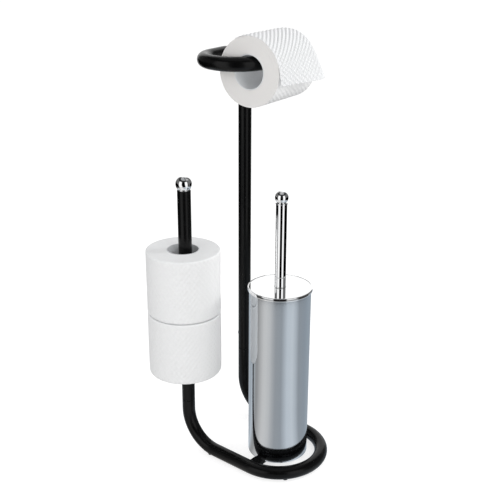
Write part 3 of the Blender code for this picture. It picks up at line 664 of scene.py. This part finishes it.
LINER_BOTTOM, LINER_TOP = heights("holder_liner")
LINER_RADIUS = 41.9 * MM
LINER_WALL = 1.6 * MM
LINER_CORNER = 3 * MM
LINER_INNER = LINER_RADIUS - LINER_WALL
LINER_FLOOR = LINER_BOTTOM + LINER_WALL
FLANGE_BOTTOM = LINER_TOP - 1 * MM
liner = turned([(0, LINER_BOTTOM), (LINER_RADIUS - LINER_CORNER, LINER_BOTTOM),
                (LINER_RADIUS, LINER_BOTTOM + LINER_CORNER), (LINER_RADIUS, FLANGE_BOTTOM),
                (SHELL_RADIUS, FLANGE_BOTTOM), (SHELL_RADIUS, LINER_TOP), (LINER_INNER, LINER_TOP),
                (LINER_INNER, LINER_FLOOR + LINER_CORNER), (LINER_INNER - LINER_CORNER, LINER_FLOOR),
                (0, LINER_FLOOR)], HOLDER, sides=96)
hand_over(liner, "plastic_liner", "stand", WHITE_PLASTIC, "white_plastic", "holder_liner")


# Lid, handle and stem of the brush

LID_BOTTOM, LID_TOP = heights("brush_lid")
LID_RADIUS = half_width("brush_lid")
PLATE_TOP = LID_TOP - 1.2 * MM
PLATE_BOTTOM = LID_TOP - 3 * MM
PLATE_BORE = 3.9 * MM
RIM_INNER = LID_RADIUS - 1.8 * MM
RIM_TOP = LID_TOP - 0.7 * MM
RIM_ROUND = 1.4 * MM
RIM_ARC = [math.radians(degrees) for degrees in range(0, 91, 15)]
SKIRT_INNER = LID_RADIUS - 1.1 * MM
SKIRT_BOTTOM = PLATE_BOTTOM - 2.4 * MM
SPIGOT_OUTER = 39.5 * MM
SPIGOT_INNER = 38.3 * MM
lid = turned([(PLATE_BORE, PLATE_TOP), (RIM_INNER, PLATE_TOP), (RIM_INNER, RIM_TOP),
              *[(LID_RADIUS - RIM_ROUND * (1 - math.sin(a)), RIM_TOP - RIM_ROUND * (1 - math.cos(a)))
                for a in RIM_ARC],
              (LID_RADIUS, SKIRT_BOTTOM), (SKIRT_INNER, SKIRT_BOTTOM), (SKIRT_INNER, PLATE_BOTTOM),
              (SPIGOT_OUTER, PLATE_BOTTOM), (SPIGOT_OUTER, LID_BOTTOM), (SPIGOT_INNER, LID_BOTTOM),
              (SPIGOT_INNER, PLATE_BOTTOM), (PLATE_BORE, PLATE_BOTTOM)],
             HOLDER, sides=WIDE_SIDES, edge=0.15 * MM)
hand_over(lid, "chrome_lid", "brush", CHROME, "chrome", "brush_lid")

HANDLE_FOOT = PLATE_TOP + 0.2 * MM
HANDLE_TOP = heights("handle_tube")[1]
HANDLE_RADIUS = 7.8 * MM
HANDLE_BORE = 6.9 * MM
FOOT_RING = HANDLE_RADIUS + 0.3 * MM
handle = turned([(FOOT_RING, HANDLE_FOOT), (FOOT_RING, HANDLE_FOOT + 0.8 * MM),
                 (HANDLE_RADIUS - 0.1 * MM, HANDLE_FOOT + 1.1 * MM), (HANDLE_RADIUS, HANDLE_FOOT + 1.5 * MM),
                 (HANDLE_RADIUS, HANDLE_TOP), (HANDLE_BORE, HANDLE_TOP), (HANDLE_BORE, HANDLE_FOOT)],
                HOLDER, edge=0.25 * MM)
hand_over(handle, "chrome_handle", "brush", CHROME, "chrome", "handle_tube")
knob = turned(ball_outline(radius=9.4 * MM, neck=6.2 * MM, collar=8.4 * MM, collar_top=1.8 * MM,
                           stud=6.6 * MM), HOLDER + UP * HANDLE_TOP)
hand_over(knob, "handle_end_ball", "brush", CHROME, "chrome", "handle_ball")

STEM_SIDES = 48
STEM_GAP = 0.3 * MM
STEM_BOTTOM, STEM_TOP = heights("brush_stem")
STEM_RADIUS = 5 * MM
TENON_RADIUS = 3.4 * MM
THREAD_RADIUS = 3.6 * MM
SHOULDER_RADIUS = 10 * MM
SHOULDER_TOP = PLATE_BOTTOM - STEM_GAP
HUB_BOTTOM, HUB_TOP = heights("brush_core")
HUB_RADIUS = 6.4 * MM
HUB_NOSE = 4 * MM
HUB_BORE = TENON_RADIUS + STEM_GAP
stem = turned([(0, STEM_BOTTOM), (TENON_RADIUS, STEM_BOTTOM), (TENON_RADIUS, HUB_TOP + STEM_GAP),
               (STEM_RADIUS, HUB_TOP + STEM_GAP), (STEM_RADIUS, SHOULDER_TOP - 8 * MM),
               (STEM_RADIUS + 1.2 * MM, SHOULDER_TOP - 4.4 * MM),
               (SHOULDER_RADIUS - 0.8 * MM, SHOULDER_TOP - 3 * MM),
               (SHOULDER_RADIUS, SHOULDER_TOP - 2.4 * MM), (SHOULDER_RADIUS, SHOULDER_TOP),
               (THREAD_RADIUS, SHOULDER_TOP), (THREAD_RADIUS, STEM_TOP), (0, STEM_TOP)],
              HOLDER, sides=STEM_SIDES)
hand_over(stem, "brush_stem_rod", "brush", WHITE_PLASTIC, "white_plastic", "brush_stem")

hub = turned([(0, HUB_BOTTOM), (HUB_RADIUS / 2, HUB_BOTTOM), (HUB_RADIUS - 1 * MM, HUB_BOTTOM + 1.6 * MM),
              (HUB_RADIUS, HUB_BOTTOM + HUB_NOSE), (HUB_RADIUS, HUB_TOP), (HUB_BORE, HUB_TOP),
              (HUB_BORE, STEM_BOTTOM - STEM_GAP), (0, STEM_BOTTOM - STEM_GAP)], HOLDER, sides=STEM_SIDES)
hand_over(hub, "brush_head_core", "brush", WHITE_PLASTIC, "white_plastic", "brush_core")

BRISTLE_COLUMNS = 20
BRISTLE_ROWS = 16
BRISTLE_REACH = 37 * MM
BACKING = 8.2 * MM
FILAMENT_RADIUS = 0.2 * MM
FILAMENT_SPACING = 0.42 * MM
FILAMENT_BENDS = (0, 0.3 * MM, 0.8 * MM)
FILAMENT_TAPER = 0.8
FILAMENT_SPLAY = math.radians(1.6)
RING_FILAMENTS = 6
ROOT_DEPTH = 0.3 * MM
TUFT_TURN = 0.7
HEAD_SPREAD = 4 * MM


def bristle_tuft():
    """One bent filament and a ring of others round it, along Z from their root at zero."""
    deselect()
    bpy.ops.mesh.primitive_circle_add(vertices=3, radius=FILAMENT_RADIUS, fill_type="NGON")
    filament = bpy.context.object
    bpy.ops.object.mode_set(mode="EDIT")
    lift = (BRISTLE_REACH - BACKING) / len(FILAMENT_BENDS)
    for bend in FILAMENT_BENDS:
        bpy.ops.mesh.extrude_edges_move(TRANSFORM_OT_translate={"value": (bend, 0, lift)})
        bpy.ops.transform.resize(value=(FILAMENT_TAPER, FILAMENT_TAPER, 1))
    bpy.ops.mesh.edge_face_add()
    bpy.ops.object.mode_set(mode="OBJECT")
    close_skin(filament)
    strands = [filament]
    for i in range(RING_FILAMENTS):
        spin = Matrix.Rotation(i * WHOLE / RING_FILAMENTS, 4, "Z")
        splay = Matrix.Rotation(FILAMENT_SPLAY, 4, "Y")
        strands.append(copy_at(filament, spin @ Matrix.Translation((FILAMENT_SPACING, 0, 0)) @ splay))
    return join(strands)


def bristle_head():
    """Tufts all round the core, and the sleeve that they stand on."""
    tuft = bristle_tuft()
    head_bottom = HUB_BOTTOM + HUB_NOSE
    sleeve = turned(ring_outline(BACKING, HUB_RADIUS + 0.2 * MM, head_bottom, HUB_TOP), (0, 0, 0), sides=40)
    tufts = [sleeve]
    for row in range(BRISTLE_ROWS):
        share = (row + 0.5) / BRISTLE_ROWS
        tip_lean = math.atan2(HEAD_SPREAD * (share * 2 - 1), BRISTLE_REACH - BACKING)
        for column in range(BRISTLE_COLUMNS):
            angle = WHOLE * (column + 0.5) / BRISTLE_COLUMNS
            stand_out = (Matrix.Translation((0, 0, head_bottom + (HUB_TOP - head_bottom) * share))
                         @ Matrix.Rotation(angle, 4, "Z") @ Matrix.Translation((BACKING - ROOT_DEPTH, 0, 0))
                         @ Matrix.Rotation(QUARTER - tip_lean, 4, "Y")
                         @ Matrix.Rotation(TUFT_TURN * (row + column), 4, "Z"))
            tufts.append(copy_at(tuft, stand_out))
    bpy.data.objects.remove(tuft)
    head = join(tufts)
    head.location = HOLDER
    settle(head)
    return head


hand_over(bristle_head(), "bristle_tufts", "brush", NYLON, "bristle", "brush_bristles")


# Paper rolls

END_RINGS = 10
CORNER_ARC = [math.radians(degrees) for degrees in (18, 36, 54, 72, 90)]
SIDE_RINGS = 14

# An end's paper lies inside the roll's length by this share of its rounding, and its layers waver inwards
END_SINK_SHARE = 0.2
END_WAVER = 0.5 * MM
END_WAVER_DEPTH = 1.2 * MM

# The side lies inside the roll's radius by these shares of the rounding, all round and where it wavers
SIDE_SINK_SHARE = 0.114
SIDE_WAVER_SHARE = 0.2
SIDE_FROM_SHARE = 0.8

# Scales of the winding's unevenness, over the whole roll and over its layers
MASS_ACROSS = 26
MASS_ALONG = 14
LAYERS_OUT = 420
LAYERS_ROUND = 0.8


def soft_roll(radius, edge, seed):
    """Wound paper along Z from near zero: soft edges, slightly uneven winding, a hole for its core."""
    hole = CORE_INNER + CORE_WALL + CORE_GAP
    sink = edge * END_SINK_SHARE
    corner_top = sink + edge
    flat = [(hole + (radius - edge - hole) * i / END_RINGS, sink) for i in range(END_RINGS + 1)]
    corner = [(radius - edge * (1 - math.sin(a)), corner_top - edge * math.cos(a)) for a in CORNER_ARC]
    side = [(radius, corner_top + (ROLL_LENGTH - 2 * corner_top) * i / SIDE_RINGS)
            for i in range(1, SIDE_RINGS)]
    lower = flat + corner
    upper = [(out, ROLL_LENGTH - along) for out, along in reversed(lower)]
    roll = turned(lower + side + upper, (0, 0, 0), sides=96, edge=0)
    for point in roll.data.vertices:
        place = point.co
        out = math.hypot(place.x, place.y)
        turn = math.atan2(place.y, place.x)
        mass = noise.noise(Vector((place.x * MASS_ACROSS, place.y * MASS_ACROSS,
                                   place.z * MASS_ALONG + seed)))
        step = noise.noise(Vector((out * LAYERS_OUT, turn * LAYERS_ROUND, seed)))
        at_end = max(0.0, 1 - min(place.z, ROLL_LENGTH - place.z) / END_WAVER_DEPTH)
        inward = 1 if place.z < ROLL_LENGTH / 2 else -1
        place.z += inward * at_end * abs(step + mass * 0.5) * END_WAVER
        if out > radius * SIDE_FROM_SHARE:
            shrink = 1 - (SIDE_SINK_SHARE + mass * SIDE_WAVER_SHARE) * edge / radius
            place.x *= shrink
            place.y *= shrink
    return roll


def cardboard_core():
    """Core along Z from near zero, a little shorter than the roll at both ends."""
    return turned(ring_outline(CORE_INNER + CORE_WALL, CORE_INNER, CORE_GAP, ROLL_LENGTH - CORE_GAP),
                  (0, 0, 0), sides=72, edge=0.35 * MM)


def lay(piece, place, axis):
    """Bring a piece made along Z from zero to its place along an axis."""
    piece.rotation_mode = "QUATERNION"
    piece.rotation_quaternion = UP.rotation_difference(axis)
    piece.location = place
    settle(piece)
    return piece


def add_roll(name, place, axis, radius, edge, seed, end_tone, end_tint, board):
    """Paper and core of one roll, which starts at a place and runs along an axis."""
    paper = lay(soft_roll(radius, edge, seed), place, axis)
    finish = paper_finish(name + "_tissue", place, axis, end_tone, end_tint)
    hand_over(paper, name + "_tissue", name, finish, "paper", name + "_paper")
    card = lay(cardboard_core(), place, axis)
    hand_over(card, name + "_card_core", name, board, "card", name + "_core")


SPARE = middle("lower_roll_paper")
for spare_name, seed in (("lower_roll", 3.0), ("upper_roll", 11.0)):
    add_roll(spare_name, SPARE + UP * heights(spare_name + "_core")[0], UP, half_width("lower_roll_paper"),
             edge=2.4 * MM, seed=seed, end_tone=0.8, end_tint=0.008, board=SHADED_CARD)

TOP_AXIS = -ARM_OUT
TOP_LOW, TOP_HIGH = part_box("top_roll_core")
TOP_FACE = (TOP_LOW + TOP_HIGH) / 2 - TOP_AXIS * ROLL_LENGTH / 2
# The end of the roll in use gets a darker tone than the spare rolls' ends: painted shade for the end that
# faces away from the right lamp. Its warm tint is the paper's own
add_roll("top_roll", TOP_FACE, TOP_AXIS, TOP_ROLL_RADIUS,
         edge=0.4 * MM, seed=23.0, end_tone=0.75, end_tint=-0.018, board=LIT_CARD)


# Loose end of the paper on the roll in use: over the top, down the front, lifting at its right corner

SHEET_FROM = math.radians(118)
SHEET_LIFT_FROM = math.radians(45)
SHEET_TO = math.radians(-15)
SHEET_COLUMNS = 150
SHEET_ROWS = 190
SHEET_THICKNESS = 0.25 * MM
SHEET_GAP = 0.2 * MM
EDGE_LIFT = 4 * MM
CORNER_LIFT = 11 * MM

# Height of the emboss's middle over the roll, and how far its two families of waves go up and down
EMBOSS_MIDDLE = 0.95 * MM
FIRST_WAVES = 0.45 * MM
SECOND_WAVES = 0.2 * MM

# How quickly the emboss sets in from the sheet's edges, and how it drifts and its sides wander
SIDE_EASE = 14
START_EASE = 20
DRIFT_SCALE = 34
SIDE_SCALE = 60
SIDE_WANDER = 0.2 * MM


def sheet_place(across, down):
    """Place of a point of the sheet, given by its shares of the width and of the length."""
    angle = SHEET_FROM + (SHEET_TO - SHEET_FROM) * down
    lifted = max(0.0, (SHEET_LIFT_FROM - angle) / (SHEET_LIFT_FROM - SHEET_TO)) ** 3
    wide, long = across * ROLL_LENGTH, down * SHEET_LENGTH
    first = math.sin((wide / EMBOSS_ACROSS + long / EMBOSS_DOWN) * WHOLE)
    second = math.sin((wide / EMBOSS_ACROSS - long / EMBOSS_DOWN) * WHOLE)
    ease = min(1.0, across * SIDE_EASE, (1 - across) * SIDE_EASE, down * START_EASE)
    drift = noise.noise(Vector((wide * DRIFT_SCALE, long * DRIFT_SCALE, 2.0)))
    out = (TOP_ROLL_RADIUS + SHEET_GAP + (EDGE_LIFT + CORNER_LIFT * across) * lifted
           + ease * (EMBOSS_MIDDLE + first * FIRST_WAVES + second * SECOND_WAVES)
           + drift * (0.2 * ease + lifted) * MM)
    along = wide + noise.noise(Vector((long * SIDE_SCALE, 5.0, 1.0))) * SIDE_WANDER
    return TOP_FACE + TOP_AXIS * along + ARM_SIDE * out * math.cos(angle) + UP * out * math.sin(angle)


deselect()
bpy.ops.mesh.primitive_grid_add(x_subdivisions=SHEET_COLUMNS, y_subdivisions=SHEET_ROWS, size=1)
sheet = bpy.context.object
for point in sheet.data.vertices:
    point.co = sheet_place(point.co.x + 0.5, 0.5 - point.co.y)
apply(sheet, "SOLIDIFY", thickness=SHEET_THICKNESS, offset=0)
pick(sheet)
bpy.ops.object.shade_smooth_by_angle(angle=math.radians(60))
hand_over(sheet, "loose_tissue_sheet", "top_roll", sheet_finish(), "paper", "loose_sheet")


# Finishes of the CAD nodes that keep their shape

for finish, nodes in ((ZINC, ("post_sleeve", "pole_sleeve", "stop_set_screw", "holder_base", "holder_screw",
                              "holder_washer", "holder_nut")),
                      (BLACK_PLASTIC, ("post_ball_plug", "arm_ball_plug", "handle_insert")),
                      (RUBBER, ("pad_back_left", "pad_back_right", "pad_front_left", "pad_front_right"))):
    for node in nodes:
        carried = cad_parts[node]
        carried.data.materials.clear()
        carried.data.materials.append(finish)


# Camera's place and direction

CAMERA_PLACE = Vector((-0.8915, -0.74785, 0.7649))
CAMERA_PITCH = math.radians(20.98)
CAMERA_ROLL = math.radians(0.26)
CAMERA_LENS = 64.607
SENSOR_WIDTH = 36
LOOK_ALONG = Vector((0.7703, 0.6377, 0)).normalized()
TOWARDS_CAMERA = math.atan2(CAMERA_PLACE.y - HOLDER.y, CAMERA_PLACE.x - HOLDER.x)


# Screens round the object that only polished metal sees

# Each is given by its bearing in degrees from the camera's side, its level and its tint. The floor shows
# them in rings round the holder. In the photo's view the cup mirrors the nearest ring, the lid's edge the
# next, and the handle the outer ones.
CUP_SCREENS = ((-180, 0.5, 0.09), (-122, 0.55, 0.09), (-112, 0.76, 0.08), (-102, 0.6, 0.05), (-92, 0.44, 0),
               (-84, 0.44, -0.01), (-74, 0.6, -0.02), (-58, 0.82, -0.02), (-48, 0.85, -0.015),
               (-34, 0.77, -0.005), (-22, 0.6, 0.02), (-12, 0.49, 0.05), (8, 0.48, 0.07), (29, 0.83, 0.07),
               (48, 0.86, 0.06), (62, 0.69, 0.07), (75, 0.46, 0.08), (104, 0.45, 0.11), (125, 0.48, 0.12),
               (180, 0.42, 0.1))
LID_SCREENS = ((-180, 0.4, 0.03), (-104, 0.4, 0.03), (-92, 0.06, 0), (-62, 0.06, 0), (-54, 0.38, 0.02),
               (-24, 0.42, 0.02), (-20, 0.02, 0), (20, 0.02, 0), (25, 0.38, 0.02), (62, 0.32, 0.03),
               (68, 0.05, 0), (112, 0.05, 0), (120, 0.32, 0.04), (180, 0.32, 0.04))


def hard_screens(left, right):
    """White room with a dark strip behind the camera and a dark screen on each side, of these levels."""
    return ((-180, 1, 0), (-150, 1, 0), (-145, left, 0), (-67, left, 0), (-62, 1, 0), (-25, 1, 0),
            (-20, 0, 0), (21, 0, 0), (26, 1, 0), (56, 1, 0), (61, right, 0), (142, right, 0), (148, 1, 0),
            (180, 1, 0))


MIDDLE_SCREENS = hard_screens(0.1, 0)
FAR_SCREENS = hard_screens(0, 0)
ROOM_SCREENS = hard_screens(0.14, 0.14)

# How far from the holder each ring of the floor's screens reaches, and how wide its soft edge is
CUP_REACH = 0.63
LID_REACH = 0.685
MIDDLE_REACH = 0.84
NEAR_EDGE = 0.01
FAR_EDGE = 0.1

# Where the room's ceiling starts on the camera's side, how much higher on the far side, and its light panel
CEILING_FROM = (0.57, 0.63)
CEILING_RISE = 0.27
FAR_SIDE_FROM = (0.39, 0.41)
PANEL_FROM = (0.84, 0.88)


def bearing_from(where):
    """Bearing about Z from the camera's side, 0.5 towards the camera and 0 and 1 away from it."""
    turned_place = where.node("ShaderNodeMapping", {"vector_type": "TEXTURE"},
                              {"Vector": where, "Rotation": (0, 0, TOWARDS_CAMERA)})
    return where.maths("ARCTAN2", turned_place.axis("Y"), turned_place.axis("X")) * (1 / WHOLE) + 0.5


def screens_at(bearing, screens):
    """The screens' colours over the bearing."""
    stops = [(0.5 + degrees / 360, grey(level, tint)) for degrees, level, tint in screens]
    return bearing.node("ShaderNodeValToRGB", {"stops": stops}, {"Fac": bearing}, "Color")


def floor_screens(where):
    """The rings of screens that the floor shows."""
    place = where.node("ShaderNodeVectorMath", {"operation": "SUBTRACT"}, {0: where, 1: HOLDER})
    reach = place.node("ShaderNodeVectorMath", {"operation": "LENGTH"}, {0: place}, "Value")
    bearing = bearing_from(place)
    outer = reach.band(MIDDLE_REACH, MIDDLE_REACH + FAR_EDGE).between(
        screens_at(bearing, MIDDLE_SCREENS), screens_at(bearing, FAR_SCREENS))
    outer = reach.band(LID_REACH, LID_REACH + NEAR_EDGE).between(screens_at(bearing, LID_SCREENS), outer)
    return reach.band(CUP_REACH, CUP_REACH + NEAR_EDGE).between(screens_at(bearing, CUP_SCREENS), outer)


def room_screens(direction):
    """Screens as the room shows them, under a dark ceiling with a light panel in its middle."""
    bearing = bearing_from(direction)
    far_side = direction.maths("ABSOLUTE", bearing - 0.5).band(*FAR_SIDE_FROM)
    height = direction.axis("Z")
    ceiling = height.band(*PANEL_FROM).between(grey(0.03, 0.02), grey(0.35, 0.02))
    above = (height - far_side * CEILING_RISE).band(*CEILING_FROM)
    return above.between(screens_at(bearing, ROOM_SCREENS), ceiling)


# Floor and room: white to the camera, plain light to the object, screens to its polished metal

FLOOR_SIZE = 60
FLOOR_GLOW = 0.66
ROOM_LEVEL = 0.78
ROOM_SCREENS_STRENGTH = 1.08


def ray_kinds(where):
    """Whether a ray comes from the camera or through glass, and whether it comes off polished metal."""
    seen = where.node("ShaderNodeLightPath", output="Is Camera Ray")
    through = where.node("ShaderNodeLightPath", output="Is Transmission Ray")
    mirrored = where.node("ShaderNodeLightPath", output="Is Glossy Ray")
    return seen + through, mirrored


def floor_finish():
    """Plain pale floor that takes the object's shadow."""
    material, where = start_finish("studio_floor")
    straight, mirrored = ray_kinds(where)
    matt = where.node("ShaderNodeBsdfDiffuse", {}, {"Color": grey(0.5)})
    glow = where.node("ShaderNodeEmission", {}, {"Color": grey(1.0), "Strength": straight * FLOOR_GLOW})
    plain = where.node("ShaderNodeAddShader", {}, {0: matt, 1: glow})
    screens = where.node("ShaderNodeEmission", {}, {"Color": floor_screens(where), "Strength": 1.0})
    both = where.node("ShaderNodeMixShader", {}, {0: mirrored, 1: plain, 2: screens})
    where.node("ShaderNodeOutputMaterial", {}, {"Surface": both})
    return material


def studio_room():
    """White room with soft light."""
    world = bpy.data.worlds.new("studio")
    world.use_nodes = True
    world.node_tree.nodes.clear()
    room = Wire(world.node_tree)
    direction = room.node("ShaderNodeTexCoord", output="Generated")
    straight, mirrored = ray_kinds(room)
    soft_light = room.node("ShaderNodeBackground", {}, {"Color": grey(ROOM_LEVEL)})
    white = room.node("ShaderNodeBackground", {}, {"Color": grey(1.0)})
    plain = room.node("ShaderNodeMixShader", {}, {0: straight, 1: soft_light, 2: white})
    screens = room.node("ShaderNodeBackground", {},
                        {"Color": room_screens(direction), "Strength": ROOM_SCREENS_STRENGTH})
    both = room.node("ShaderNodeMixShader", {}, {0: mirrored, 1: plain, 2: screens})
    room.node("ShaderNodeOutputWorld", {}, {"Surface": both})
    return world


deselect()
bpy.ops.mesh.primitive_plane_add(size=FLOOR_SIZE)
floor = bpy.context.object
floor.name = "studio_floor"
floor.data.materials.append(floor_finish())
bpy.context.scene.world = studio_room()


# Lamps

LAMPS_AIM = Vector((0, 0, 0.3))
RIGHT_LAMP = (1.4, -1.1, 1.2)


def softbox(name, place, size, power, shadow=True):
    """Large soft lamp aimed at the object and not mirrored in it. A fill lamp throws no shadow."""
    lamp = bpy.data.lights.new(name, "AREA")
    lamp.shape = "RECTANGLE"
    lamp.size, lamp.size_y = size
    lamp.energy = power
    lamp.use_shadow = shadow
    lamp_object = bpy.data.objects.new(name, lamp)
    bpy.context.collection.objects.link(lamp_object)
    lamp_object.visible_glossy = False
    lamp_object.location = place
    lamp_object.rotation_mode = "QUATERNION"
    lamp_object.rotation_quaternion = (LAMPS_AIM - Vector(place)).to_track_quat("-Z", "Y")


softbox("softbox_right", RIGHT_LAMP, (0.35, 0.35), power=10)
softbox("fill_right", RIGHT_LAMP, (0.35, 0.35), power=8, shadow=False)
softbox("softbox_front", (-0.5, -2.1, 0.7), (1.0, 1.0), power=8)
softbox("softbox_low", (-1.4, -1.2, 0.6), (0.8, 0.8), power=3)
softbox("softbox_left", (-1.9, 0.2, 0.9), (1.0, 1.2), power=8)


# Camera

camera = bpy.data.objects.new("camera", bpy.data.cameras.new("camera"))
bpy.context.collection.objects.link(camera)
camera.data.lens = CAMERA_LENS
camera.data.sensor_width = SENSOR_WIDTH
camera.data.clip_start = 0.05
camera.location = CAMERA_PLACE
look = LOOK_ALONG * math.cos(CAMERA_PITCH) - UP * math.sin(CAMERA_PITCH)
camera.rotation_mode = "QUATERNION"
camera.rotation_quaternion = look.to_track_quat("-Z", "Y") @ Quaternion((0, 0, 1), CAMERA_ROLL)
bpy.context.scene.camera = camera
bpy.context.scene.view_settings.view_transform = "Standard"
